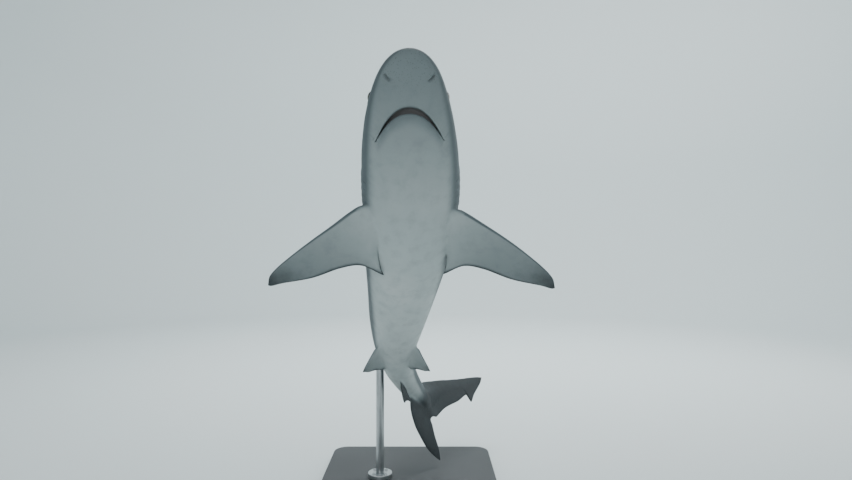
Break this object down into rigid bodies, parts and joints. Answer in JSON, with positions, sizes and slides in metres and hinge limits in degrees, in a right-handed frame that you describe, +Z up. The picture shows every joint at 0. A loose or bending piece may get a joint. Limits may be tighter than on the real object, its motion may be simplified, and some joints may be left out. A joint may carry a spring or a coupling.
{
  "type": "reef shark",
  "caption": "Life-size grey reef shark gliding upwards with its tail swung aside, held on a flat base by one post.",
  "frame": {"origin": "centre of the stand base's underside, on the floor", "axes": "+Z up; the shark's snout points up and towards -Y, its left side is towards +X"},
  "size_m": [0.6217, 1.1917, 1.0808],
  "materials": {
    "skin": "satin shark skin, bronze-grey above and off-white below",
    "fin_skin": "satin shark skin with dusky tips",
    "eye": "wet and glossy",
    "base_paint": "board with matte dark grey paint",
    "post_steel": "satin steel"
  },
  "bodies": {
    "root": {"head": "skin", "lower_jaw": "skin", "gill_region": "skin", "trunk_front": "skin", "trunk_rear": "skin", "tail_base": "skin", "tail_stock": "skin", "eye_left": "eye", "eye_right": "eye", "pectoral_fin_left": "fin_skin", "pectoral_fin_right": "fin_skin", "pelvic_fin_left": "fin_skin", "pelvic_fin_right": "fin_skin", "dorsal_fin_first": "fin_skin", "dorsal_fin_second": "fin_skin", "anal_fin": "fin_skin", "caudal_upper_lobe": "fin_skin", "caudal_lower_lobe": "fin_skin", "stand_base": "base_paint", "stand_flange": "post_steel", "stand_post": "post_steel"}
  },
  "joints": []
}
